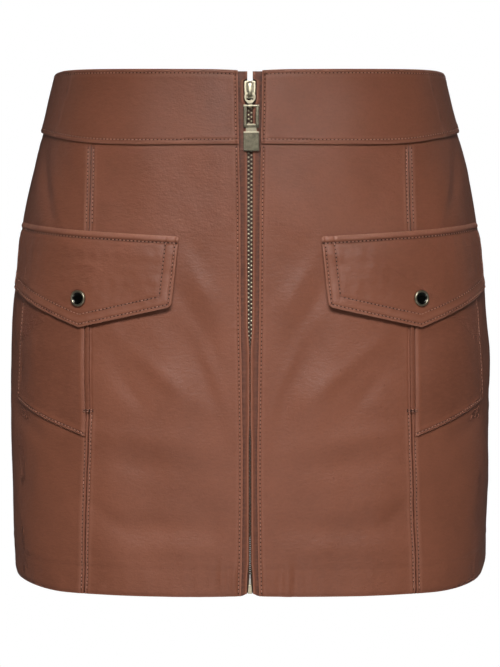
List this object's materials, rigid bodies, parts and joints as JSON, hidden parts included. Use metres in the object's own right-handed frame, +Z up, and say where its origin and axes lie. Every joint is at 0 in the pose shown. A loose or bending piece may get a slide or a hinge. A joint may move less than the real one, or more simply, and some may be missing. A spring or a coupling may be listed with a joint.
{
  "type": "leather mini skirt",
  "caption": "Fitted leather mini skirt in its worn shape, with a waistband, a zip from waist to hem and flap pockets closed by snaps.",
  "frame": {"origin": "middle of the waist opening, half way up the waistband", "axes": "+Z up along the wearer, -Y towards the front with the zip, +X to the right as seen from the front"},
  "size_m": [0.3554, 0.236, 0.3743],
  "materials": {
    "tan_leather": "satin",
    "zip_tape": "woven",
    "light_gold": "polished",
    "dark_brass": "brushed",
    "gunmetal": "polished"
  },
  "bodies": {
    "skirt": {"front_panel_left": "tan_leather", "front_panel_right": "tan_leather", "side_panel_left": "tan_leather", "side_panel_right": "tan_leather", "back_panel_left": "tan_leather", "back_panel_right": "tan_leather", "waistband_front_left": "tan_leather", "waistband_front_right": "tan_leather", "waistband_back": "tan_leather", "pocket_left": "tan_leather", "pocket_right": "tan_leather", "pocket_welt_left": "tan_leather", "pocket_welt_right": "tan_leather", "pocket_flap_left": "tan_leather", "pocket_flap_right": "tan_leather", "snap_left": "gunmetal", "snap_right": "gunmetal", "zip_lip_left": "tan_leather", "zip_lip_right": "tan_leather", "zip_tape_left": "zip_tape", "zip_tape_right": "zip_tape", "zip_chain": "light_gold", "zip_slider": "light_gold", "zip_stop": "light_gold"},
    "pull_link": {"pull_link": "light_gold"},
    "pull_tab": {"pull_tab": "dark_brass"}
  },
  "joints": [
    {"name": "link_hinge", "type": "hinge", "parent": "skirt", "child": "pull_link", "pos_m": [0, -0.094, 0.00792], "axis": [-1, 0, 0], "range_deg": [0, 110]},
    {"name": "tab_hinge", "type": "hinge", "parent": "pull_link", "child": "pull_tab", "pos_m": [0.0009, -0.09531, -0.00078], "axis": [-1, 0, 0], "range_deg": [0, 70]}
  ]
}
